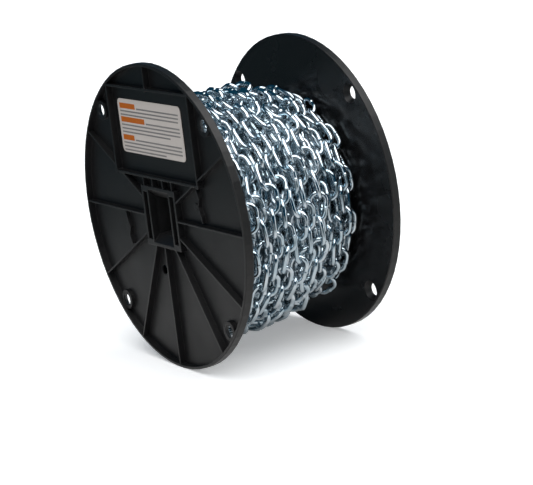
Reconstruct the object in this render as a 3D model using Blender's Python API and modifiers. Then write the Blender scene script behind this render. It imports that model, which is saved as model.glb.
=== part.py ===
"""Reel of steel chain: two ribbed plastic flanges on a drum, with chain wound in layers between them.

The reel lies on its rims with its axis along Y. Metres, +Z up, with the origin on the floor under the middle.
"""
import math

import bmesh
import bpy
from mathutils import Matrix, Vector

# Driving dimensions
FLANGE_RADIUS = 0.1525
REEL_WIDTH = 0.178
FLANGE_DEPTH = 0.0088
WEB_THICKNESS = 0.0022
SEAT_GAP = 0.0003

RIM_LIP = 0.0028
RIM_ROUND = 0.0007
RIB_WIDTH = 0.0022
RIB_DRAFT = 0.75
LONG_SPOKE_ANGLES = (0, 180, 210, 242, 270, 305, 332)
PANEL_SPOKE_ANGLES = (30, 150)

HUB_WIDTH = 0.064
HUB_HEIGHT = 0.060
HUB_WALL = 0.0030
ARBOR_SIDE = 0.038
SLEEVE_WALL = 0.0025
FUNNEL_FLOOR = 0.0010

PANEL_HALF_WIDTH = 0.0780
PANEL_BOTTOM = 0.0395
PANEL_TOP = 0.1270

BOSS_CIRCLE = 0.1400
BOSS_RADIUS = 0.0100
BOSS_HEIGHT = 0.0038
BOSS_HOLE_RADIUS = 0.0062
BOSS_MOUTH_RADIUS = 0.0102
BOSS_MOUTH_DEPTH = 0.0050
SMALL_HOLE_RADIUS = 0.0050
SMALL_HOLE_PLACE = (-0.0175, -0.0560)

ZIGZAG_ROUTE = ((0.0700, 0.0360), (0.0735, 0.0270), (0.0705, 0.0185), (0.0745, 0.0095), (0.0755, 0.0030))
ZIGZAG_WIDTH = 0.0020
ZIGZAG_HEIGHT = 0.0040
KNOB_RADIUS = 0.0032
KNOB_HEIGHT = 0.0033
KNOB_OFFSET = 0.0050
PAD_RADIUS = 0.0023

STICKER_WIDTH = 0.1220
STICKER_HEIGHT = 0.0540
STICKER_CENTRE = (-0.0070, 0.0865)
STICKER_CORNER = 0.0050
STICKER_THICKNESS = 0.0004

DRUM_RADIUS = 0.0450
DRUM_WALL = 0.0030

WIRE_DIAMETER = 0.0049
LINK_WIDTH = 0.0205
TURNS_ACROSS = 12
LINKS_PER_TURN = 32
LAYER_STEP = 0.0143
LAST_LAYER_TURNS = 8
NEAR_TURNS_RADIUS = 0.1146
FAR_TURNS_RADIUS = 0.0985
CHAIN_SAG = 0.0044

RIM_STEPS = 64
DRUM_STEPS = 48

# Worked out from the driving dimensions
INNER_WIDTH = REEL_WIDTH - 2 * FLANGE_DEPTH
HALF_FACET = math.pi / RIM_STEPS
AXIS_HEIGHT = FLANGE_RADIUS * math.cos(HALF_FACET)
LIP_INNER_RADIUS = FLANGE_RADIUS - RIM_LIP

RIB_TOP = FLANGE_DEPTH - 0.0004
BOSS_TOP = WEB_THICKNESS + BOSS_HEIGHT
COLLAR_TOP = FLANGE_DEPTH - 0.0002
PAD_TOP = FLANGE_DEPTH - 0.0001
ZIGZAG_TOP = WEB_THICKNESS + ZIGZAG_HEIGHT
KNOB_TOP = WEB_THICKNESS + KNOB_HEIGHT
SLEEVE_LENGTH = INNER_WIDTH / 2 - SEAT_GAP / 2
BURY = 0.0008
THROUGH = 0.0020
CHAIN_VALLEY = -0.0060
CHAIN_CREST = (LINK_WIDTH - WIRE_DIAMETER) / 2 * math.sin(math.radians(45)) + 0.75 * WIRE_DIAMETER


def clear_scene():
    """Removes what the scene holds when the script starts."""
    for obj in list(bpy.data.objects):
        bpy.data.objects.remove(obj, do_unlink=True)


def new_collection(name):
    """Makes a collection in the scene."""
    collection = bpy.data.collections.new(name)
    bpy.context.scene.collection.children.link(collection)
    return collection


def principled(name, colour, roughness, metallic=0.0):
    """Makes a Principled material."""
    material = bpy.data.materials.new(name)
    material.use_nodes = True
    shader = material.node_tree.nodes["Principled BSDF"]
    shader.inputs["Base Color"].default_value = (*colour, 1.0)
    shader.inputs["Roughness"].default_value = roughness
    shader.inputs["Metallic"].default_value = metallic
    return material


def object_from_bmesh(name, shape, collection):
    """Turns a bmesh into an object and frees it."""
    mesh = bpy.data.meshes.new(name)
    shape.to_mesh(mesh)
    shape.free()
    obj = bpy.data.objects.new(name, mesh)
    collection.objects.link(obj)
    return obj


def guide(obj):
    """Marks an object that only cuts or joins others."""
    obj.hide_render = True
    obj.display_type = "WIRE"
    return obj


def shade_round(obj, angle_degrees=35):
    """Smooth shading with sharp edges kept."""
    obj.data.shade_smooth()
    obj.data.set_sharp_from_angle(angle=math.radians(angle_degrees))


def evaluated_copy(name, obj, collection):
    """A plain mesh object of an object with its modifiers applied, which takes the object's place."""
    bpy.context.view_layer.update()
    depsgraph = bpy.context.evaluated_depsgraph_get()
    mesh = bpy.data.meshes.new_from_object(obj.evaluated_get(depsgraph), depsgraph=depsgraph)
    result = bpy.data.objects.new(name, mesh)
    result.matrix_world = obj.matrix_world.copy()
    collection.objects.link(result)
    bpy.data.objects.remove(obj, do_unlink=True)
    return result


def turned(name, profile, steps, collection):
    """Turns a profile of (radius, height) points about Z with a Screw modifier."""
    shape = bmesh.new()
    verts = [shape.verts.new((radius, 0.0, height)) for radius, height in profile]
    for first, second in zip(verts, verts[1:]):
        shape.edges.new((first, second))
    if profile[0][0] > 0.0:
        shape.edges.new((verts[-1], verts[0]))
    obj = object_from_bmesh(name, shape, collection)
    screw = obj.modifiers.new("turn", "SCREW")
    screw.axis = "Z"
    screw.steps = steps
    screw.render_steps = steps
    screw.use_merge_vertices = True
    screw.merge_threshold = 0.00002
    screw.use_smooth_shade = False
    return obj


def block(name, low, high, collection):
    """An upright box between two corners."""
    shape = bmesh.new()
    size = Vector(high) - Vector(low)
    place = Matrix.Translation((Vector(high) + Vector(low)) / 2) @ Matrix.Diagonal((*size, 1.0))
    bmesh.ops.create_cube(shape, size=1.0, matrix=place)
    return object_from_bmesh(name, shape, collection)


def rib(name, start, end, top, collection, width=RIB_WIDTH):
    """A straight moulded rib standing on the web, a little narrower at its top."""
    start = Vector(start)
    end = Vector(end)
    along = end - start
    shape = bmesh.new()
    bmesh.ops.create_cube(shape, size=1.0)
    for vert in shape.verts:
        if vert.co.z > 0.0:
            vert.co.y *= RIB_DRAFT
    bottom = WEB_THICKNESS - BURY
    middle = (start + end) / 2
    place = (
        Matrix.Translation((middle.x, middle.y, (bottom + top) / 2))
        @ Matrix.Rotation(math.atan2(along.y, along.x), 4, "Z")
        @ Matrix.Diagonal((along.length, width, top - bottom, 1.0))
    )
    bmesh.ops.transform(shape, matrix=place, verts=shape.verts)
    return object_from_bmesh(name, shape, collection)


def post(name, centre, radius, low, high, sides, collection, top_radius=None):
    """An upright round post or pin, tapered where its top has a radius of its own."""
    shape = bmesh.new()
    place = Matrix.Translation((centre[0], centre[1], (low + high) / 2))
    if top_radius is None:
        top_radius = radius
    bmesh.ops.create_cone(
        shape, cap_ends=True, segments=sides, radius1=radius, radius2=top_radius, depth=high - low, matrix=place
    )
    return object_from_bmesh(name, shape, collection)


def combine(obj, others, operation):
    """Joins or cuts an object with a list of others, one after another."""
    for other in others:
        guide(other)
        modifier = obj.modifiers.new(other.name, "BOOLEAN")
        modifier.operation = operation
        modifier.solver = "EXACT"
        modifier.object = other
    return obj


def polar(radius, degrees):
    """A point of the flange's face."""
    return (radius * math.cos(math.radians(degrees)), radius * math.sin(math.radians(degrees)))


def box_exit(half_width, half_height, degrees):
    """Where a ray from the centre leaves a centred rectangle, as a radius."""
    x, y = polar(1.0, degrees)
    reach_x = half_width / abs(x) if abs(x) > 1e-9 else math.inf
    reach_y = half_height / abs(y) if abs(y) > 1e-9 else math.inf
    return min(reach_x, reach_y)


def spokes(tools):
    """The radial ribs, about every thirty degrees, stopped by the sticker panel's frame."""
    made = []
    hub_half_width = HUB_WIDTH / 2 - HUB_WALL / 2
    hub_half_height = HUB_HEIGHT / 2 - HUB_WALL / 2
    rim = LIP_INNER_RADIUS + RIM_LIP / 2
    for degrees in LONG_SPOKE_ANGLES:
        inner = box_exit(hub_half_width, hub_half_height, degrees)
        made.append(rib(f"spoke_{degrees}", polar(inner, degrees), polar(rim, degrees), RIB_TOP, tools))
    for degrees in PANEL_SPOKE_ANGLES:
        inner = box_exit(hub_half_width, hub_half_height, degrees)
        frame_bottom = PANEL_BOTTOM / math.sin(math.radians(degrees))
        frame_side = PANEL_HALF_WIDTH / abs(math.cos(math.radians(degrees)))
        made.append(
            rib(f"spoke_{degrees}_inner", polar(inner, degrees), polar(frame_bottom, degrees), RIB_TOP, tools)
        )
        made.append(
            rib(f"spoke_{degrees}_outer", polar(frame_side, degrees), polar(rim, degrees), RIB_TOP, tools)
        )
    made.append(rib("spoke_90", (0.0, PANEL_TOP), (0.0, rim), RIB_TOP, tools))
    return made


def panel_frame(tools):
    """The rectangular wall around the sticker panel."""
    wall = RIB_WIDTH / 2
    outer = block(
        "panel_frame",
        (-PANEL_HALF_WIDTH - wall, PANEL_BOTTOM - wall, WEB_THICKNESS - BURY),
        (PANEL_HALF_WIDTH + wall, PANEL_TOP + wall, RIB_TOP + 0.0001),
        tools,
    )
    inner = block(
        "panel_inside",
        (-PANEL_HALF_WIDTH + wall, PANEL_BOTTOM + wall, -BURY),
        (PANEL_HALF_WIDTH - wall, PANEL_TOP - wall, FLANGE_DEPTH + BURY),
        tools,
    )
    return combine(outer, [inner], "DIFFERENCE")


def panel_teeth(tools):
    """Short ribs that tie the panel's frame to the hub collar."""
    made = []
    for index, place in enumerate((-0.0270, -0.0100, 0.0100, 0.0270)):
        bottom = HUB_HEIGHT / 2 - HUB_WALL / 2
        made.append(rib(f"tooth_{index}", (place, bottom), (place, PANEL_BOTTOM), RIB_TOP - 0.0003, tools))
    return made


def zigzag_ribs(tools):
    """The two low crooked ribs beside the hub, a half turn apart, each with a round knob at its left."""
    made = []
    for side, sign in (("right", 1.0), ("left", -1.0)):
        points = [(sign * x, sign * y) for x, y in ZIGZAG_ROUTE]
        for index, (start, end) in enumerate(zip(points, points[1:])):
            top = ZIGZAG_TOP - 0.00015 * (index % 2)
            made.append(rib(f"zigzag_{side}_{index}", start, end, top, tools, ZIGZAG_WIDTH))
        middle_x, middle_y = points[len(points) // 2]
        knob = (middle_x - KNOB_OFFSET, middle_y)
        made.append(post(f"knob_{side}", knob, KNOB_RADIUS, WEB_THICKNESS - BURY, KNOB_TOP, 16, tools))
    return made


def corner_pads(tools):
    """Small round pads where the panel's frame has its lower corners and meets the upper spoke."""
    places = ((-PANEL_HALF_WIDTH, PANEL_BOTTOM), (PANEL_HALF_WIDTH, PANEL_BOTTOM), (0.0, PANEL_TOP))
    bottom = WEB_THICKNESS - BURY
    made = []
    for index, place in enumerate(places):
        made.append(post(f"pad_{index}", place, PAD_RADIUS, bottom, PAD_TOP, 14, tools))
    return made


def hub_collar(tools):
    """The near-square collar round the arbor opening."""
    return block(
        "hub_collar",
        (-HUB_WIDTH / 2, -HUB_HEIGHT / 2, WEB_THICKNESS - BURY),
        (HUB_WIDTH / 2, HUB_HEIGHT / 2, COLLAR_TOP),
        tools,
    )


def arbor_sleeve(tools):
    """The square tube that lines the way through, reaching to the middle of the reel."""
    half = ARBOR_SIDE / 2 + SLEEVE_WALL
    return block("arbor_sleeve", (-half, -half, -SLEEVE_LENGTH), (half, half, WEB_THICKNESS / 2), tools)


def mouth_cutter(tools):
    """The mouth in the collar: straight at the sides, and sloping inwards at top and bottom."""
    shape = bmesh.new()
    bmesh.ops.create_cube(shape, size=1.0)
    for vert in shape.verts:
        vert.co.x *= ARBOR_SIDE
        if vert.co.z > 0.0:
            vert.co.y *= HUB_HEIGHT - 2 * HUB_WALL
            vert.co.z = COLLAR_TOP + 0.0001
        else:
            vert.co.y *= ARBOR_SIDE
            vert.co.z = FUNNEL_FLOOR
    return object_from_bmesh("mouth", shape, tools)


def side_pocket_cutters(tools):
    """The deep narrow pockets between the collar's side walls and the arbor opening."""
    inner = ARBOR_SIDE / 2 + SLEEVE_WALL
    outer = HUB_WIDTH / 2 - HUB_WALL
    half_height = HUB_HEIGHT / 2 - 2 * HUB_WALL
    top = FLANGE_DEPTH + THROUGH
    made = []
    for name, low, high in (("pocket_right", inner, outer), ("pocket_left", -outer, -inner)):
        made.append(block(name, (low, -half_height, WEB_THICKNESS), (high, half_height, top), tools))
    return made


def arbor_cutter(tools):
    """The square way through the flange and its sleeve."""
    half = ARBOR_SIDE / 2
    low = -SLEEVE_LENGTH - THROUGH
    return block("arbor", (-half, -half, low), (half, half, FLANGE_DEPTH + THROUGH), tools)


def boss_places():
    """The four bossed holes, between the spokes."""
    return [polar(BOSS_CIRCLE, degrees) for degrees in (45, 135, 225, 315)]


def boss_hole_cutters(tools):
    """The bossed holes: round through the boss, and widening to a conical mouth on the flange's inner face."""
    spread = (BOSS_MOUTH_RADIUS - BOSS_HOLE_RADIUS) / BOSS_MOUTH_DEPTH
    wide = BOSS_MOUTH_RADIUS + spread * BURY
    narrow = BOSS_MOUTH_RADIUS - spread * BOSS_TOP
    made = []
    for index, place in enumerate(boss_places()):
        above = FLANGE_DEPTH + THROUGH
        made.append(post(f"boss_hole_{index}", place, BOSS_HOLE_RADIUS, -THROUGH, above, 24, tools))
        made.append(post(f"boss_mouth_{index}", place, wide, -BURY, BOSS_TOP, 24, tools, narrow))
    return made


def make_flange(name, material, parts, tools):
    """One flange in its own frame: web on z = 0, ribs towards +Z, the panel towards +Y."""
    profile = [
        (0.0, WEB_THICKNESS),
        (LIP_INNER_RADIUS - 0.0004, WEB_THICKNESS),
        (LIP_INNER_RADIUS, FLANGE_DEPTH),
        (FLANGE_RADIUS - RIM_ROUND, FLANGE_DEPTH),
        (FLANGE_RADIUS, FLANGE_DEPTH - RIM_ROUND),
        (FLANGE_RADIUS, RIM_ROUND),
        (FLANGE_RADIUS - RIM_ROUND, 0.0),
        (0.0, 0.0),
    ]
    dish = turned(f"{name}_dish", profile, RIM_STEPS, tools)
    dish = evaluated_copy(f"{name}_body", dish, tools)
    dish.data.transform(Matrix.Rotation(HALF_FACET, 4, "Z"))
    added = [hub_collar(tools), arbor_sleeve(tools)] + spokes(tools) + panel_teeth(tools)
    added += zigzag_ribs(tools) + corner_pads(tools)
    frame = evaluated_copy("panel_wall", panel_frame(tools), tools)
    added.append(frame)
    for index, place in enumerate(boss_places()):
        added.append(post(f"boss_{index}", place, BOSS_RADIUS, WEB_THICKNESS - BURY, BOSS_TOP, 24, tools))
    combine(dish, added, "UNION")
    holes = [mouth_cutter(tools), arbor_cutter(tools)] + side_pocket_cutters(tools)
    holes += boss_hole_cutters(tools)
    above = FLANGE_DEPTH + THROUGH
    holes.append(post("small_hole", SMALL_HOLE_PLACE, SMALL_HOLE_RADIUS, -THROUGH, above, 20, tools))
    combine(dish, holes, "DIFFERENCE")
    flange = evaluated_copy(name, dish, parts)
    for leftover in added + holes:
        bpy.data.objects.remove(leftover, do_unlink=True)
    flange.data.materials.clear()
    flange.data.materials.append(material)
    shade_round(flange)
    return flange


def make_drum(material, parts):
    """The plain tube between the flanges."""
    half = INNER_WIDTH / 2 - SEAT_GAP
    profile = [
        (DRUM_RADIUS, half),
        (DRUM_RADIUS, -half),
        (DRUM_RADIUS - DRUM_WALL, -half),
        (DRUM_RADIUS - DRUM_WALL, half),
    ]
    drum = turned("drum", profile, DRUM_STEPS, parts)
    drum.data.materials.append(material)
    return drum


def turns_radius(place):
    """Radius of the outer turns' path, a number of turns in from the near flange.

    The last layer is wound only part of the way across, from the near flange.
    """
    return NEAR_TURNS_RADIUS if place < LAST_LAYER_TURNS else FAR_TURNS_RADIUS


def link_height(across, around):
    """Height of the chain's outer face over a turn's path.

    across runs from 0 to 1 over one turn's width. around runs from 0 to 1 over two links, of which the first leans
    to one side and the second to the other, so that each link's upper side makes a short ridge.
    """
    ridge = 0.5 + 0.25 * math.cos(2 * math.pi * around)
    rise = 0.5 + 0.5 * math.cos(2 * math.pi * (across - ridge))
    return CHAIN_VALLEY + (CHAIN_CREST - CHAIN_VALLEY) * rise


def end_grooves(end, edge_radius):
    """Points of the shallow grooves between layers on one end of the chain, from the bore outwards."""
    depth = 0.0015
    inwards = -math.copysign(depth, end)
    points = []
    groove = DRUM_RADIUS + SEAT_GAP + LAYER_STEP
    while groove + 2 * depth < edge_radius + CHAIN_VALLEY - CHAIN_SAG:
        points += [(groove - depth, end), (groove, end + inwards), (groove + depth, end)]
        groove += LAYER_STEP
    return points


def chain_profile():
    """Half section of the wound chain: the outer turns, the layers on both ends, and the bore."""
    half = INNER_WIDTH / 2 - SEAT_GAP
    bore = DRUM_RADIUS + SEAT_GAP
    turn_width = 2 * half / TURNS_ACROSS
    outer = []
    for turn in range(TURNS_ACROSS):
        for across in (0.125, 0.375, 0.625, 0.875):
            place = turn + across
            outer.append((turns_radius(place), half - turn_width * place))
    lower_end = end_grooves(-half, FAR_TURNS_RADIUS)
    upper_end = end_grooves(half, NEAR_TURNS_RADIUS)
    return outer + lower_end[::-1] + [(bore, -half), (bore, half)] + upper_end


def make_chain(material, parts, tools):
    """The wound chain as one turned body, its outer face shaped like rows of links that sag a little."""
    pairs = LINKS_PER_TURN // 2
    half = INNER_WIDTH / 2 - SEAT_GAP
    turn_width = 2 * half / TURNS_ACROSS
    blank = turned("chain_blank", chain_profile(), pairs * 4, tools)
    chain = evaluated_copy("chain", blank, parts)
    for vert in chain.data.vertices:
        radius = math.hypot(vert.co.x, vert.co.y)
        place = (half - vert.co.z) / turn_width
        if abs(radius - turns_radius(place)) > 0.0001:
            continue
        turn = min(int(place), TURNS_ACROSS - 1)
        phase = math.atan2(vert.co.y, vert.co.x) / (2 * math.pi) * pairs
        sag = -CHAIN_SAG * vert.co.y / radius
        scale = (radius + link_height(place - turn, phase) + sag) / radius
        vert.co.x *= scale
        vert.co.y *= scale
    chain.data.materials.append(material)
    shade_round(chain, 60)
    return chain


def make_sticker(material, parts):
    """The label: a rounded flat outline with a little thickness."""
    outline = bpy.data.curves.new("sticker_outline", "CURVE")
    outline.dimensions = "2D"
    outline.fill_mode = "BOTH"
    outline.extrude = STICKER_THICKNESS / 2
    spline = outline.splines.new("POLY")
    corners = []
    for corner, (side_x, side_y) in enumerate(((1, 1), (-1, 1), (-1, -1), (1, -1))):
        centre_x = side_x * (STICKER_WIDTH / 2 - STICKER_CORNER)
        centre_y = side_y * (STICKER_HEIGHT / 2 - STICKER_CORNER)
        for step in range(5):
            x, y = polar(STICKER_CORNER, 90 * corner + 22.5 * step)
            corners.append((centre_x + x, centre_y + y))
    spline.points.add(len(corners) - 1)
    for point, (x, y) in zip(spline.points, corners):
        point.co = (x, y, 0.0, 1.0)
    spline.use_cyclic_u = True
    curve = bpy.data.objects.new("sticker_curve", outline)
    parts.objects.link(curve)
    sticker = evaluated_copy("sticker", curve, parts)
    shape = bmesh.new()
    shape.from_mesh(sticker.data)
    bmesh.ops.remove_doubles(shape, verts=shape.verts, dist=0.00001)
    shape.to_mesh(sticker.data)
    shape.free()
    sticker.data.materials.clear()
    sticker.data.materials.append(material)
    return sticker


def main():
    clear_scene()
    parts = new_collection("reel_of_steel_chain")
    tools = new_collection("cutters")
    black = principled("black_moulded_plastic", (0.020, 0.020, 0.022), 0.42)
    dark = principled("dark_drum_plastic", (0.020, 0.020, 0.022), 0.55)
    zinc = principled("zinc_plated_steel", (0.62, 0.67, 0.72), 0.22, 1.0)
    paper = principled("white_paper", (0.86, 0.86, 0.85), 0.60)

    upright = Matrix.Rotation(math.radians(90), 4, "X")
    half_turn = Matrix.Rotation(math.radians(180), 4, "Z")
    axis_point = Matrix.Translation((0.0, 0.0, AXIS_HEIGHT))

    near_face = Matrix.Translation((0.0, -INNER_WIDTH / 2, 0.0))
    near = make_flange("near_flange", black, parts, tools)
    near.matrix_world = axis_point @ near_face @ upright
    far = near.copy()
    far.name = "far_flange"
    parts.objects.link(far)
    far.matrix_world = axis_point @ half_turn @ near_face @ upright

    drum = make_drum(dark, parts)
    drum.matrix_world = axis_point @ upright
    chain = make_chain(zinc, parts, tools)
    chain.matrix_world = axis_point @ upright

    sticker = make_sticker(paper, parts)
    rise = WEB_THICKNESS + SEAT_GAP + STICKER_THICKNESS / 2
    on_panel = Matrix.Translation((*STICKER_CENTRE, rise))
    sticker.matrix_world = axis_point @ near_face @ upright @ on_panel


main()
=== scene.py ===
"""Looks of the reel of steel chain: wound links of zinc plated wire between moulded black flanges.

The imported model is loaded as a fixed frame. The flanges, drum and label keep their shapes and get their
finishes. The chain's solid is replaced by its links, laid in turns and layers and settled against each
other. Metres, +Z up, with the reel's axis along Y.
"""
import math

import bpy
import numpy as np
from mathutils import Matrix, Vector


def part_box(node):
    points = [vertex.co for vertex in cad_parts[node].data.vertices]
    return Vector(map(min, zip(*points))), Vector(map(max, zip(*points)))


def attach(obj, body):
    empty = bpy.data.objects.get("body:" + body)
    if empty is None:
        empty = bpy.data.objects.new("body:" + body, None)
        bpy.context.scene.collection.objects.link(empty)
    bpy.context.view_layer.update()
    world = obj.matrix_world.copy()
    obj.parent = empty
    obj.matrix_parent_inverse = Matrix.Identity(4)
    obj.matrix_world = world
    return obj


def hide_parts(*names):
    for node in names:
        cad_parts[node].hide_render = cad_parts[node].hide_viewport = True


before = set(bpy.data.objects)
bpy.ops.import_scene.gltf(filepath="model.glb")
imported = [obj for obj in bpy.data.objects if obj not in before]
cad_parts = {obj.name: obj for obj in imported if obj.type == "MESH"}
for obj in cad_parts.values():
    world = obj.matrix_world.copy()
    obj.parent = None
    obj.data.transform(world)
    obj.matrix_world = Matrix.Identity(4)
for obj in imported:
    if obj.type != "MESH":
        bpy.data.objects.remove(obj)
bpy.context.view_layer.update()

# The frame's sizes
drum_low, drum_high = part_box("drum")
flange_low, flange_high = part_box("near_flange")
label_low, label_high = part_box("sticker")
AXIS_HEIGHT = (drum_low.z + drum_high.z) / 2
DRUM_RADIUS = (drum_high.z - drum_low.z) / 2
FLANGE_RADIUS = (flange_high.x - flange_low.x) / 2
FLANGE_FACE = drum_high.y
OUTER_FACE = -flange_low.y

# A link of round wire. Its weld is a low swelling, and the stations along it are in weld lengths
WIRE = 0.0049
PITCH = 0.0225
LINK_WIDTH = 0.0205
END_RADIUS = (LINK_WIDTH - WIRE) / 2
HALF_STRAIGHT = (PITCH + 2 * WIRE - LINK_WIDTH) / 2
WELD_RISE = 0.0008
WELD_LENGTH = 0.0009
WELD_STATIONS = (-2.0, -1.1, -0.4, 0.4, 1.1, 2.0)

# Steps round each end of a link and sides round its wire, in the outer layers and further in
FINE_WIRE = (8, 16)
MIDDLING_WIRE = (6, 12)
PLAIN_WIRE = (5, 8)

# How the chain is wound: the last layer is part full, and its end is at END_ANGLE
TURNS_ACROSS = 12
LINKS_PER_TURN = (16.3, 20.3, 24.3, 28.3, 31.7)
LAST_LAYER_SHARE = 8 / 12
EDGE_CLEARANCE = 0.0082
END_ANGLE = math.radians(215)
SAG = 0.0115

# How unevenly it lies, and over how many links that changes
WANDER_OUT = 0.0010
WANDER_OUT_LINKS = 9
WANDER_ALONG = 0.0016
WANDER_ALONG_LINKS = 7
ROLL_WANDER = math.radians(16)
ROLL_WANDER_LINKS = 5
ROLL_JITTER = math.radians(5)
SEED = 7

# How it settles: wires that meet are pushed apart, and every link is pulled gently towards the axis
ROUNDS = 200
CONTACT_SAMPLES = 24
CONTACT_GAP = 0.0001
SEARCH_MARGIN = 0.0022
PAIRS_EVERY = 6
PULL = 0.00006
PUSH = 0.8
LENGTH_SWEEPS = 6
MOST_LEAN = 0.45
TINY = 1e-12

# Most of a noise's values lie in this range
NOISE_RANGE = (0.3, 0.7)

# Zinc plating
ZINC_DEEP = (0.43, 0.53, 0.59)
ZINC_PALE = (0.61, 0.675, 0.72)
ZINC_PATCH_RANGE = (0.35, 0.65)
ZINC_ROUGHNESS = (0.07, 0.13)
ZINC_GRAIN_ROUGHNESS = (0.0, 0.04)

# The flanges' plastic. Each wear range runs from where wear begins to where it is full, and the inner faces
# change in roughness from the sleeve to the drum's radius
PLASTIC_DARK = (0.0040, 0.0040, 0.0045)
PLASTIC_PALE = (0.0065, 0.0062, 0.0063)
PLASTIC_WORN = (0.010, 0.0096, 0.0093)
RIM_WEAR = (FLANGE_RADIUS - 0.0012, FLANGE_RADIUS - 0.0004)
RIB_WEAR = (OUTER_FACE - 0.0011, OUTER_FACE - 0.0005)
RIB_WEAR_SHARE = 0.7
SCUFF_RANGE = (0.35, 0.7)
SCUFF_SHARE = (0.35, 1.0)
INNER_FACE = (FLANGE_FACE + 0.0006, FLANGE_FACE + 0.0012)
SLEEVE_TO_DRUM = (DRUM_RADIUS - 0.004, DRUM_RADIUS)
PLASTIC_ROUGHNESS = (0.36, 0.46)
INNER_ROUGHER = (0.35, -0.16)
WORN_SMOOTHER = 0.12
PLASTIC_SPECULAR = 0.32
EDGE_ROUNDING = 0.0006

# The drum's plastic
DRUM_DARK = (0.012, 0.012, 0.013)
DRUM_PALE = (0.020, 0.019, 0.020)
DRUM_ROUGHNESS = (0.5, 0.62)

# The label's paper and print. The paper is greyer than white paper, which paints in the shade that falls on
# the label
PAPER_DARK_IN_PAINTED_SHADE = (0.365, 0.33, 0.305)
PAPER_PALE_IN_PAINTED_SHADE = (0.42, 0.38, 0.35)
PAPER_ROUGHNESS = (0.38, 0.5)
PAPER_SPECULAR = 0.2
BAR_COLOUR = (0.34, 0.078, 0.001)
RULE_COLOUR = (0.10, 0.10, 0.10)
RULE_STRENGTH = 0.85

# The print's layout, in shares of the label from its upper left corner. Each block gives where its bar ends,
# its top, its number of lines, and where its last line ends
LABEL_BLOCKS = ((0.28, 0.08, 3, 0.95), (0.41, 0.335, 4, 0.80), (0.21, 0.67, 4, 0.70))
PRINT_BEGINS = 0.03
PRINT_ENDS = 0.96
BAR_HEIGHT = 0.10
BAR_TO_RULE = 0.02
FIRST_LINE = 0.083
LINE_STEP = 0.067
RULE_HALF = 0.015

# The floor. It glows evenly for the camera and diffuse light, which lifts the reel's shadow on it towards
# white
FLOOR_SIZE = 24.0
FLOOR_DARK = (0.86, 0.86, 0.86)
FLOOR_PALE = (0.88, 0.88, 0.88)
# Painted light: the floor's own glow, which lifts the reel's shadow on it
FLOOR_GLOW = (0.32, 0.32, 0.32)
# Painted reflection: the dim room's floor that metal and gloss see beyond the painted table
FLOOR_PAINTED_REFLECTION = (0.02, 0.05, 0.06)
FLOOR_ROUGHNESS = 0.8

# Painted reflection: the table that only metal and gloss see on the floor, a disc that fades out, and a
# wedge of it towards each lamp
PAINTED_TABLE_FADE = (0.25, 0.85)
WEDGE_AZIMUTHS = (math.radians(-66), math.radians(52))
WEDGE_FADE = (0.26, 0.40)
PAINTED_TABLE_FRONT = (-0.02, 0.06)
PAINTED_TABLE_BEHIND = (0.76, 0.74, 0.72)
PAINTED_TABLE_IN_FRONT = (0.43, 0.42, 0.41)
# Painted reflection: the painted table's glow in front of the reel
PAINTED_TABLE_GLOW = (0.235, 0.235, 0.235)
NO_GLOW = (0.0, 0.0, 0.0)

# Each lamp's place, size and power, and the ceiling light's middle and edge, as cosines from that middle
LAMPS = {
    "left": ((0.75, -1.85, 0.5), (0.75, 0.9), 4.5),
    "right": ((1.2, 1.5, 0.5), (0.8, 0.9), 4.0),
}
CEILING_TOWARDS = (0.34, 0.0, 0.94)
CEILING_EDGE = (0.68, 0.82)
CEILING_COLOUR = (3.10, 3.12, 3.14)
ROOM_COLOUR = (0.004, 0.045, 0.080)

# Camera at the photograph's viewing angle
PICTURE_WIDTH = 533
FOCAL_PIXELS = 2000.0
SENSOR_WIDTH = 36.0
CAMERA_PLACE = Vector((1.6753, -1.0033, 0.5646))
CAMERA_FORWARD = Vector((-0.8285, 0.5100, -0.2293)).normalized()
CAMERA_ROLL = math.radians(-6.9)


def smooth_noise(rng, count, step):
    """Random values along the chain that change over about step links."""
    knots = rng.normal(size=count // step + 4)
    place = np.arange(count) / step
    low = place.astype(int)
    part = place - low
    part = part * part * (3 - 2 * part)
    return knots[low] * (1 - part) + knots[low + 1] * part


def unit(vectors):
    """Vectors at length one."""
    return vectors / np.maximum(np.linalg.norm(vectors, axis=-1, keepdims=True), TINY)


def square_to(vectors, axes):
    """Vectors with their part along axes taken off, at length one."""
    return unit(vectors - axes * np.sum(vectors * axes, axis=-1, keepdims=True))


def link_outline(runs):
    """Points on a link's centre line and outward directions, at distances from the middle of one side."""
    half = 2 * HALF_STRAIGHT + math.pi * END_RADIUS
    points = []
    outward = []
    for run in runs:
        place = (run + half / 2) % (2 * half) - half / 2
        side = 1.0
        if place > half / 2:
            place -= half
            side = -1.0
        straight = max(-HALF_STRAIGHT, min(HALF_STRAIGHT, place))
        angle = (place - straight) / END_RADIUS
        direction = (side * math.sin(angle), side * math.cos(angle))
        outward.append(direction)
        points.append((side * straight + END_RADIUS * direction[0], END_RADIUS * direction[1]))
    return np.array(points), np.array(outward)


def layer_radius(layer):
    """Radius of a layer's path, on which its links close into a polygon."""
    return PITCH / (2 * math.sin(math.pi / LINKS_PER_TURN[layer]))


def wound_path():
    """Joints between links as (radius, along, angle), in layers wound to and fro from the near flange."""
    edge = FLANGE_FACE - EDGE_CLEARANCE
    joints = []
    angle = 0.0
    towards = 1.0
    last = len(LINKS_PER_TURN) - 1
    for layer, per_turn in enumerate(LINKS_PER_TURN):
        share = LAST_LAYER_SHARE if layer == last else 1.0
        count = round(per_turn * TURNS_ACROSS * share)
        below = layer_radius(max(layer - 1, 0))
        for index in range(count):
            climb = min(1.0, index / per_turn)
            radius = below + (layer_radius(layer) - below) * climb
            along = towards * edge * (2 * share * index / (count - 1) - 1)
            joints.append((radius, along, angle))
            angle += 2 * math.asin(PITCH / (2 * radius))
        towards = -towards
    joints = np.array(joints)
    joints[:, 2] += END_ANGLE - joints[-1, 2]
    return joints


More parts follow.
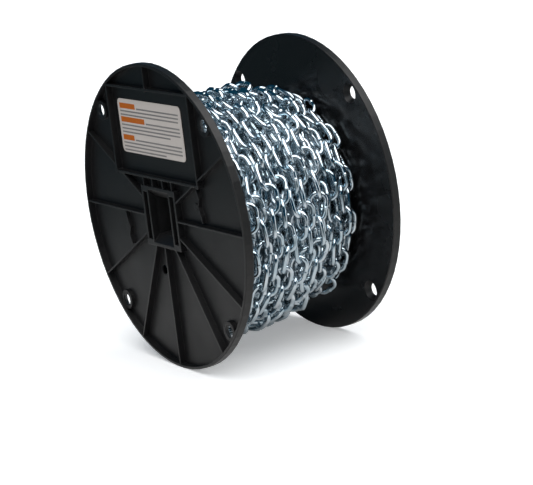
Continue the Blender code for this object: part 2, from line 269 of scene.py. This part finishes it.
def wound_chain():
    """The chain before it settles: its joints, its links' across directions, and each joint's hang."""
    rng = np.random.default_rng(SEED)
    radius, along_reel, angle = wound_path().T
    joint_count = len(radius)
    link_count = joint_count - 1
    radius = radius + WANDER_OUT * smooth_noise(rng, joint_count, WANDER_OUT_LINKS)
    along_reel = along_reel + WANDER_ALONG * smooth_noise(rng, joint_count, WANDER_ALONG_LINKS)
    outermost = layer_radius(len(LINKS_PER_TURN) - 1)
    sag = SAG * (radius - DRUM_RADIUS) / (outermost - DRUM_RADIUS)
    joints = np.stack((radius * np.cos(angle), along_reel, radius * np.sin(angle) - sag), axis=1)

    along = unit(joints[1:] - joints[:-1])
    middles = (joints[1:] + joints[:-1]) / 2
    outward = middles * (1.0, 0.0, 1.0)
    outward[:, 2] += (sag[1:] + sag[:-1]) / 2
    outward = square_to(outward, along)
    sideways = np.cross(along, outward)
    sideways *= np.sign(sideways[:, 1:2])
    roll = np.where(np.arange(link_count) % 2 == 0, 1.0, -1.0) * math.pi / 4
    wander = ROLL_WANDER * smooth_noise(rng, link_count, ROLL_WANDER_LINKS)
    jitter = ROLL_JITTER * rng.normal(size=link_count)
    roll += wander + jitter
    across = np.cos(roll)[:, None] * sideways + np.sin(roll)[:, None] * outward
    return joints, across, sag


def close_pairs(points, owner, reach):
    """Pairs of points within reach, on links that aren't the same or joined to each other."""
    cell = np.floor(points / reach).astype(np.int64)
    cell -= cell.min(axis=0) - 1
    span = cell.max(axis=0) + 2
    key = (cell[:, 0] * span[1] + cell[:, 1]) * span[2] + cell[:, 2]
    order = np.argsort(key, kind="stable")
    sorted_keys = key[order]
    every = np.arange(len(points))
    steps = (-1, 0, 1)
    offsets = [(x * span[1] + y) * span[2] + z for x in steps for y in steps for z in steps]
    first = []
    second = []
    for offset in offsets:
        if offset < 0:
            continue
        low = np.searchsorted(sorted_keys, key + offset, "left")
        high = np.searchsorted(sorted_keys, key + offset, "right")
        for step in range(int((high - low).max())):
            there = low + step < high
            one = every[there]
            two = order[low[there] + step]
            if offset == 0:
                one, two = one[one < two], two[one < two]
            first.append(one)
            second.append(two)
    first = np.concatenate(first)
    second = np.concatenate(second)
    near = np.linalg.norm(points[first] - points[second], axis=1) < reach
    keep = near & (np.abs(owner[first] - owner[second]) > 1)
    return first[keep], second[keep]


def contact_moves(points, pairs):
    """How far each wire point is pushed by the wires, drum and flanges that it sinks into, and which are."""
    first, second = pairs
    apart = points[first] - points[second]
    gap = np.linalg.norm(apart, axis=1)
    hit = gap < WIRE + CONTACT_GAP
    first, second, apart, gap = first[hit], second[hit], apart[hit], gap[hit]
    push = apart / gap[:, None] * ((WIRE + CONTACT_GAP - gap) / 2)[:, None]
    moves = np.zeros_like(points)
    for axis in range(3):
        moves[:, axis] += np.bincount(first, push[:, axis], len(points))
        moves[:, axis] -= np.bincount(second, push[:, axis], len(points))
    touched = np.bincount(first, minlength=len(points)) + np.bincount(second, minlength=len(points)) > 0

    from_axis = np.hypot(points[:, 0], points[:, 2])
    sunk = np.maximum(0.0, DRUM_RADIUS + WIRE / 2 + CONTACT_GAP - from_axis)
    moves[:, 0] += points[:, 0] / from_axis * sunk
    moves[:, 2] += points[:, 2] / from_axis * sunk
    over = np.maximum(0.0, np.abs(points[:, 1]) + WIRE / 2 - FLANGE_FACE)
    moves[:, 1] -= np.sign(points[:, 1]) * over
    return moves, touched | (sunk > 0) | (over > 0)


def keep_lengths(joints):
    """Every second link, then the others, is brought back to its pitch."""
    for sweep in range(LENGTH_SWEEPS):
        begin = sweep % 2
        first = joints[begin:-1:2]
        second = joints[begin + 1 :: 2]
        span = second - first
        length = np.linalg.norm(span, axis=1, keepdims=True)
        fix = span / length * (length - PITCH) / 2
        joints[begin:-1:2] = first + fix
        joints[begin + 1 :: 2] = second - fix


def keep_square(along, across):
    """Links turned back where they lie flatter on the next link than their wires allow."""
    normal = np.cross(along, across)
    lean = np.sum(normal[1:] * normal[:-1], axis=1)
    excess = (np.sign(lean) * np.maximum(0.0, np.abs(lean) - MOST_LEAN) / 2)[:, None]
    turn = np.zeros_like(normal)
    turn[:-1] -= excess * normal[1:]
    turn[1:] -= excess * normal[:-1]
    return np.cross(square_to(normal + turn, along), along)


def settled_chain():
    """Middle, along and across directions of every link, after the wound chain has settled."""
    joints, across, sag = wound_chain()
    link_count = len(across)
    loop = 4 * HALF_STRAIGHT + 2 * math.pi * END_RADIUS
    shape, _ = link_outline(loop * (np.arange(CONTACT_SAMPLES) + 0.5) / CONTACT_SAMPLES)
    to_second = 0.5 + shape[:, 0] / PITCH
    to_first = 1.0 - to_second
    to_side = shape[:, 1] / END_RADIUS
    freedom = to_first**2 + to_second**2 + to_side**2
    owner = np.repeat(np.arange(link_count), CONTACT_SAMPLES)
    for step in range(ROUNDS):
        points = (
            joints[:-1, None] * to_first[None, :, None]
            + joints[1:, None] * to_second[None, :, None]
            + across[:, None] * shape[None, :, 1, None]
        ).reshape(-1, 3)
        if step % PAIRS_EVERY == 0:
            pairs = close_pairs(points, owner, WIRE + SEARCH_MARGIN)
        moves, touched = contact_moves(points, pairs)
        moves = moves.reshape(link_count, CONTACT_SAMPLES, 3)
        touches = np.maximum(touched.reshape(link_count, CONTACT_SAMPLES).sum(axis=1), 1)
        push = PUSH / np.sqrt(touches)[:, None]
        joints[:-1] += push * (moves * (to_first / freedom)[None, :, None]).sum(axis=1)
        joints[1:] += push * (moves * (to_second / freedom)[None, :, None]).sum(axis=1)
        across += push * (moves * (to_side / freedom)[None, :, None]).sum(axis=1) / END_RADIUS

        centre = np.stack((np.zeros(len(joints)), joints[:, 1], -sag), axis=1)
        joints += unit(centre - joints) * PULL * (1 - step / ROUNDS)
        keep_lengths(joints)
        along = unit(joints[1:] - joints[:-1])
        across = keep_square(along, square_to(across, along))
    middles = (joints[1:] + joints[:-1]) / 2
    middles[:, 2] += AXIS_HEIGHT
    return middles, along, across


def link_template(end_steps, sides, welded):
    """One link's points and quads: a round wire bent to a closed loop, with a raised weld on one side."""
    half = 2 * HALF_STRAIGHT + math.pi * END_RADIUS
    runs = [WELD_LENGTH * place for place in WELD_STATIONS] if welded else []
    for side in (0, 1):
        for step in range(end_steps + 1):
            runs.append(half * side + HALF_STRAIGHT + math.pi * END_RADIUS * step / end_steps)
    centres, outward = link_outline(runs)
    wire = np.full(len(runs), WIRE / 2)
    if welded:
        wire += WELD_RISE * np.exp(-((np.array(runs) / WELD_LENGTH) ** 2))
    turn = 2 * math.pi * np.arange(sides) / sides
    flat = centres[:, None] + outward[:, None] * (wire[:, None] * np.cos(turn))[:, :, None]
    height = wire[:, None] * np.sin(turn)
    points = np.concatenate((flat, height[:, :, None]), axis=2).reshape(-1, 3)

    station, side = np.meshgrid(np.arange(len(runs)), np.arange(sides), indexing="ij")
    next_station = (station + 1) % len(runs)
    next_side = (side + 1) % sides
    corners = (station, side), (station, next_side), (next_station, next_side), (next_station, side)
    quads = np.stack([row * sides + column for row, column in corners], axis=-1).reshape(-1, 4)
    return points, quads


def make_links(name, template, middles, along, across, material):
    """A mesh of many links, one template set at each place."""
    points, quads = template
    normal = np.cross(along, across)
    placed = (
        middles[:, None]
        + along[:, None] * points[None, :, 0, None]
        + across[:, None] * points[None, :, 1, None]
        + normal[:, None] * points[None, :, 2, None]
    ).reshape(-1, 3)
    first_point = np.arange(len(middles)) * len(points)
    faces = (quads[None] + first_point[:, None, None]).reshape(-1, 4)
    mesh = bpy.data.meshes.new(name)
    mesh.vertices.add(len(placed))
    mesh.vertices.foreach_set("co", placed.ravel())
    mesh.loops.add(faces.size)
    mesh.loops.foreach_set("vertex_index", faces.ravel())
    mesh.polygons.add(len(faces))
    mesh.polygons.foreach_set("loop_start", np.arange(len(faces)) * 4)
    mesh.polygons.foreach_set("use_smooth", np.ones(len(faces), bool))
    mesh.update(calc_edges=True)
    mesh.validate()
    mesh.materials.append(material)
    piece = bpy.data.objects.new(name, mesh)
    bpy.context.scene.collection.objects.link(piece)
    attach(piece, "root")
    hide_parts("chain")


def make_chain(material):
    """The whole wound chain, in a few meshes that get plainer towards the drum."""
    middles, along, across = settled_chain()
    fine = link_template(*FINE_WIRE, welded=True)
    middling = link_template(*MIDDLING_WIRE, welded=True)
    plain = link_template(*PLAIN_WIRE, welded=False)
    layer_ends = np.cumsum([round(per_turn * TURNS_ACROSS) for per_turn in LINKS_PER_TURN])
    second, third, fourth = layer_ends[1:4]
    halfway = (third + fourth) // 2
    pieces = (
        ("chain_first_layers", plain, 0, second),
        ("chain_third_layer", middling, second, third),
        ("chain_fourth_layer_start", fine, third, halfway),
        ("chain_fourth_layer_end", fine, halfway, fourth),
        ("chain_last_layer", fine, fourth, len(middles)),
    )
    for name, template, begin, end in pieces:
        make_links(name, template, middles[begin:end], along[begin:end], across[begin:end], material)


def new_material(name):
    """A node material, its tree and its shader."""
    material = bpy.data.materials.new(name)
    material.use_nodes = True
    tree = material.node_tree
    return material, tree, tree.nodes["Principled BSDF"]


def add_node(tree, kind, **settings):
    """A shader node with its properties set."""
    node = tree.nodes.new(kind)
    for key, value in settings.items():
        setattr(node, key, value)
    return node


def object_place(tree):
    """The place on the object, in metres."""
    return add_node(tree, "ShaderNodeTexCoord").outputs["Object"]


def coordinates(tree, place):
    """A place's X, Y and Z."""
    split = add_node(tree, "ShaderNodeSeparateXYZ")
    tree.links.new(place, split.inputs["Vector"])
    return [split.outputs[axis] for axis in "XYZ"]


def noise(tree, place, scale, detail=2.0):
    """Noise over a place."""
    node = add_node(tree, "ShaderNodeTexNoise")
    node.inputs["Scale"].default_value = scale
    node.inputs["Detail"].default_value = detail
    tree.links.new(place, node.inputs["Vector"])
    return node.outputs["Fac"]


def remap(tree, value, source, target=(0.0, 1.0), curve="LINEAR"):
    """A value carried from one range to another, and kept inside it."""
    node = add_node(tree, "ShaderNodeMapRange", interpolation_type=curve)
    tree.links.new(value, node.inputs["Value"])
    for name, number in zip(("From Min", "From Max", "To Min", "To Max"), (*source, *target)):
        node.inputs[name].default_value = number
    return node.outputs["Result"]


def calculate(tree, operation, first, second=0.0):
    """One Math node on sockets or numbers."""
    node = add_node(tree, "ShaderNodeMath", operation=operation)
    for socket, value in zip(node.inputs, (first, second)):
        if isinstance(value, (int, float)):
            socket.default_value = value
        else:
            tree.links.new(value, socket)
    return node.outputs["Value"]


def combine(tree, operation, values):
    """Many values brought down to one by Math nodes."""
    result = values[0]
    for value in values[1:]:
        result = calculate(tree, operation, result, value)
    return result


def blend_colours(tree, share, first, second):
    """A mix of two colours, or of a socket's colour and another."""
    node = add_node(tree, "ShaderNodeMix", data_type="RGBA")
    tree.links.new(share, node.inputs["Factor"])
    for name, colour in (("A", first), ("B", second)):
        socket = [entry for entry in node.inputs if entry.name == name and entry.type == "RGBA"][0]
        if isinstance(colour, tuple):
            socket.default_value = (*colour, 1.0)
        else:
            tree.links.new(colour, socket)
    return [entry for entry in node.outputs if entry.type == "RGBA"][0]


def bump(tree, height, distance, strength, base=None):
    """Bump from a height socket, on top of another normal where one is given."""
    node = add_node(tree, "ShaderNodeBump")
    node.inputs["Distance"].default_value = distance
    node.inputs["Strength"].default_value = strength
    tree.links.new(height, node.inputs["Height"])
    if base is not None:
        tree.links.new(base, node.inputs["Normal"])
    return node.outputs["Normal"]


def dress(tree, shader, colour, roughness, normal):
    """The shader takes its colour, roughness and normal from these sockets."""
    tree.links.new(colour, shader.inputs["Base Color"])
    tree.links.new(roughness, shader.inputs["Roughness"])
    tree.links.new(normal, shader.inputs["Normal"])


def zinc_material():
    """Bright zinc plating, cold blue in its depths, a little uneven from link to link."""
    material, tree, shader = new_material("zinc_plated_steel")
    place = object_place(tree)
    patches = noise(tree, place, scale=55.0)
    grain = noise(tree, place, scale=420.0, detail=3.0)
    colour = blend_colours(tree, remap(tree, patches, ZINC_PATCH_RANGE), ZINC_DEEP, ZINC_PALE)
    patch_rough = remap(tree, patches, NOISE_RANGE, ZINC_ROUGHNESS)
    grain_rough = remap(tree, grain, NOISE_RANGE, ZINC_GRAIN_ROUGHNESS)
    rough = calculate(tree, "ADD", patch_rough, grain_rough)
    dress(tree, shader, colour, rough, bump(tree, grain, distance=0.00015, strength=0.25))
    shader.inputs["Metallic"].default_value = 1.0
    return material


def flange_material():
    """Black moulded plastic, satin with a fine grain.

    It is smoother on the faces that the chain lies against and dull inside the sleeve. On the rim and on the
    ribs' tops, where it is handled, it is smoother and paler.
    """
    material, tree, shader = new_material("black_moulded_plastic")
    place = object_place(tree)
    right, along_reel, height = coordinates(tree, place)
    across_reel = calculate(tree, "ABSOLUTE", along_reel)
    up = calculate(tree, "SUBTRACT", height, AXIS_HEIGHT)
    squares = [calculate(tree, "MULTIPLY", side, side) for side in (right, up)]
    radius = calculate(tree, "SQRT", calculate(tree, "ADD", *squares))
    cloud = noise(tree, place, scale=24.0, detail=3.0)
    grain = noise(tree, place, scale=1500.0)
    scuffs = noise(tree, place, scale=210.0, detail=4.0)

    rib_tops = calculate(tree, "MULTIPLY", remap(tree, across_reel, RIB_WEAR), RIB_WEAR_SHARE)
    handled = calculate(tree, "MAXIMUM", remap(tree, radius, RIM_WEAR), rib_tops)
    worn = calculate(tree, "MULTIPLY", handled, remap(tree, scuffs, SCUFF_RANGE, SCUFF_SHARE))
    colour = blend_colours(tree, cloud, PLASTIC_DARK, PLASTIC_PALE)
    colour = blend_colours(tree, worn, colour, PLASTIC_WORN)

    inside = remap(tree, across_reel, INNER_FACE, (1.0, 0.0))
    rougher = calculate(tree, "MULTIPLY", inside, remap(tree, radius, SLEEVE_TO_DRUM, INNER_ROUGHER))
    rough = calculate(tree, "ADD", remap(tree, cloud, NOISE_RANGE, PLASTIC_ROUGHNESS), rougher)
    rough = calculate(tree, "SUBTRACT", rough, calculate(tree, "MULTIPLY", worn, WORN_SMOOTHER))

    round_edges = add_node(tree, "ShaderNodeBevel", samples=6)
    round_edges.inputs["Radius"].default_value = EDGE_ROUNDING
    normal = bump(tree, grain, distance=0.00008, strength=0.35, base=round_edges.outputs["Normal"])
    dress(tree, shader, colour, rough, normal)
    shader.inputs["Specular IOR Level"].default_value = PLASTIC_SPECULAR
    return material


def drum_material():
    """Dull black plastic of the tube under the chain."""
    material, tree, shader = new_material("drum_plastic")
    place = object_place(tree)
    cloud = noise(tree, place, scale=40.0, detail=3.0)
    grain = noise(tree, place, scale=900.0)
    colour = blend_colours(tree, cloud, DRUM_DARK, DRUM_PALE)
    rough = remap(tree, cloud, NOISE_RANGE, DRUM_ROUGHNESS)
    dress(tree, shader, colour, rough, bump(tree, grain, distance=0.0001, strength=0.3))
    return material


def print_boxes():
    """The print's bars and its rules, each as a left, right, top and bottom end."""
    bars = []
    rules = []
    for bar_end, top, lines, last_end in LABEL_BLOCKS:
        bars.append((PRINT_BEGINS, bar_end, top, top + BAR_HEIGHT))
        for line in range(lines):
            begin = bar_end + BAR_TO_RULE if line == 0 else PRINT_BEGINS
            end = last_end if line == lines - 1 else PRINT_ENDS
            middle = top + FIRST_LINE + LINE_STEP * line
            rules.append((begin, end, middle - RULE_HALF, middle + RULE_HALF))
    return bars, rules


def box_mask(tree, right, down, box):
    """One inside a box of the label, zero outside."""
    left_end, right_end, top_end, bottom_end = box
    tests = (
        calculate(tree, "GREATER_THAN", right, left_end),
        calculate(tree, "LESS_THAN", right, right_end),
        calculate(tree, "GREATER_THAN", down, top_end),
        calculate(tree, "LESS_THAN", down, bottom_end),
    )
    return combine(tree, "MULTIPLY", tests)


def label_material():
    """Coated paper, greyed all over by painted shade, with plain orange bars and fine grey rules."""
    material, tree, shader = new_material("label_paper")
    place = object_place(tree)
    across, _, height = coordinates(tree, place)
    right = remap(tree, across, (label_low.x, label_high.x))
    down = remap(tree, height, (label_low.z, label_high.z), (1.0, 0.0))
    bars, rules = print_boxes()
    on_bars = combine(tree, "MAXIMUM", [box_mask(tree, right, down, bar) for bar in bars])
    on_rules = combine(tree, "MAXIMUM", [box_mask(tree, right, down, rule) for rule in rules])

    fibres = noise(tree, place, scale=900.0, detail=3.0)
    # The paper's fibre tone, greyed all over by painted shade
    colour = blend_colours(tree, fibres, PAPER_DARK_IN_PAINTED_SHADE, PAPER_PALE_IN_PAINTED_SHADE)
    colour = blend_colours(tree, calculate(tree, "MULTIPLY", on_rules, RULE_STRENGTH), colour, RULE_COLOUR)
    colour = blend_colours(tree, on_bars, colour, BAR_COLOUR)
    rough = remap(tree, fibres, NOISE_RANGE, PAPER_ROUGHNESS)
    dress(tree, shader, colour, rough, bump(tree, fibres, distance=0.00005, strength=0.2))
    shader.inputs["Specular IOR Level"].default_value = PAPER_SPECULAR
    return material


def give_material(node, material):
    """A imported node's slots all take one material."""
    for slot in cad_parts[node].material_slots:
        slot.material = material


def make_floor():
    """A plain pale floor, wide enough to fill the view, which glows evenly to lift the reel's shadow on it.

    Metal and gloss see a painted reflection on it: a pale tabletop in a dim room, which only glossy rays
    see.
    The painted tabletop is a disc under the reel that fades out, but a wedge of it runs on towards each
    lamp. It is paler behind the reel, and glows in front of it as a painted reflection.
    """
    bpy.ops.mesh.primitive_plane_add(size=FLOOR_SIZE, location=(0.0, 0.0, 0.0))
    floor = bpy.context.object
    floor.name = "floor"
    material, tree, shader = new_material("pale_floor")
    place = object_place(tree)
    pale = blend_colours(tree, noise(tree, place, scale=3.0), FLOOR_DARK, FLOOR_PALE)

    # Painted reflection: a table that only gloss sees, fading out from under the reel, with a wedge towards
    # each lamp
    away = add_node(tree, "ShaderNodeVectorMath", operation="LENGTH")
    tree.links.new(place, away.inputs[0])
    off_painted_table = remap(tree, away.outputs["Value"], PAINTED_TABLE_FADE)
    towards_front, along_reel, _ = coordinates(tree, place)
    azimuth = calculate(tree, "ARCTAN2", along_reel, towards_front)
    for middle in WEDGE_AZIMUTHS:
        off_middle = calculate(tree, "ABSOLUTE", calculate(tree, "SUBTRACT", azimuth, middle))
        off_painted_table = calculate(tree, "MULTIPLY", off_painted_table, remap(tree, off_middle, WEDGE_FADE))
    in_front = remap(tree, towards_front, PAINTED_TABLE_FRONT)
    painted_table = blend_colours(tree, in_front, PAINTED_TABLE_BEHIND, PAINTED_TABLE_IN_FRONT)
    painted_reflection_colour = blend_colours(tree, off_painted_table, painted_table, FLOOR_PAINTED_REFLECTION)
    painted_glow_share = calculate(tree, "MULTIPLY", in_front, calculate(tree, "SUBTRACT", 1.0, off_painted_table))
    painted_glow_in_gloss = blend_colours(tree, painted_glow_share, NO_GLOW, PAINTED_TABLE_GLOW)

    # Glossy rays see the painted table and its painted glow in place of the floor
    seen_in_gloss = add_node(tree, "ShaderNodeLightPath").outputs["Is Glossy Ray"]
    colour = blend_colours(tree, seen_in_gloss, pale, painted_reflection_colour)
    glow = blend_colours(tree, seen_in_gloss, FLOOR_GLOW, painted_glow_in_gloss)
    tree.links.new(colour, shader.inputs["Base Color"])
    tree.links.new(glow, shader.inputs["Emission Color"])
    shader.inputs["Emission Strength"].default_value = 1.0
    shader.inputs["Roughness"].default_value = FLOOR_ROUGHNESS
    floor.data.materials.append(material)


def make_lamp(name, place, size, power):
    """A rectangular soft light that faces the middle of the reel."""
    lamp = bpy.data.lights.new(name, "AREA")
    lamp.shape = "RECTANGLE"
    lamp.size, lamp.size_y = size
    lamp.energy = power
    obj = bpy.data.objects.new(name, lamp)
    obj.location = place
    towards = Vector((0.0, 0.0, AXIS_HEIGHT)) - Vector(place)
    obj.rotation_euler = towards.to_track_quat("-Z", "Y").to_euler()
    bpy.context.scene.collection.objects.link(obj)


def make_world():
    """A dim blue room under a wide white ceiling light, which is tilted towards +X."""
    world = bpy.data.worlds.new("studio")
    bpy.context.scene.world = world
    world.use_nodes = True
    tree = world.node_tree
    towards_light = add_node(tree, "ShaderNodeVectorMath", operation="DOT_PRODUCT")
    tree.links.new(add_node(tree, "ShaderNodeTexCoord").outputs["Generated"], towards_light.inputs[0])
    towards_light.inputs[1].default_value = CEILING_TOWARDS
    share = remap(tree, towards_light.outputs["Value"], CEILING_EDGE, curve="SMOOTHSTEP")
    colour = blend_colours(tree, share, ROOM_COLOUR, CEILING_COLOUR)
    tree.links.new(colour, tree.nodes["Background"].inputs["Color"])


def make_lights():
    """Soft studio light: the room with its ceiling light, and a lamp beyond each flange."""
    for name, (place, size, power) in LAMPS.items():
        make_lamp(name, place, size, power)
    make_world()
    bpy.context.scene.view_settings.view_transform = "Standard"


def make_camera():
    """The camera at the photograph's viewing angle, with its slight roll."""
    level_right = CAMERA_FORWARD.cross(Vector((0.0, 0.0, 1.0))).normalized()
    level_up = level_right.cross(CAMERA_FORWARD)
    right = math.cos(CAMERA_ROLL) * level_right + math.sin(CAMERA_ROLL) * level_up
    up = right.cross(CAMERA_FORWARD)
    data = bpy.data.cameras.new("camera")
    data.sensor_width = SENSOR_WIDTH
    data.lens = FOCAL_PIXELS * SENSOR_WIDTH / PICTURE_WIDTH
    camera = bpy.data.objects.new("camera", data)
    turn = Matrix((right, up, -CAMERA_FORWARD)).transposed()
    camera.matrix_world = Matrix.Translation(CAMERA_PLACE) @ turn.to_4x4()
    bpy.context.scene.collection.objects.link(camera)
    bpy.context.scene.camera = camera


def main():
    """The camera, floor and lights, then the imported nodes' finishes, then the chain."""
    make_camera()
    make_floor()
    make_lights()
    plastic = flange_material()
    give_material("near_flange", plastic)
    give_material("far_flange", plastic)
    give_material("drum", drum_material())
    give_material("sticker", label_material())
    make_chain(zinc_material())


main()
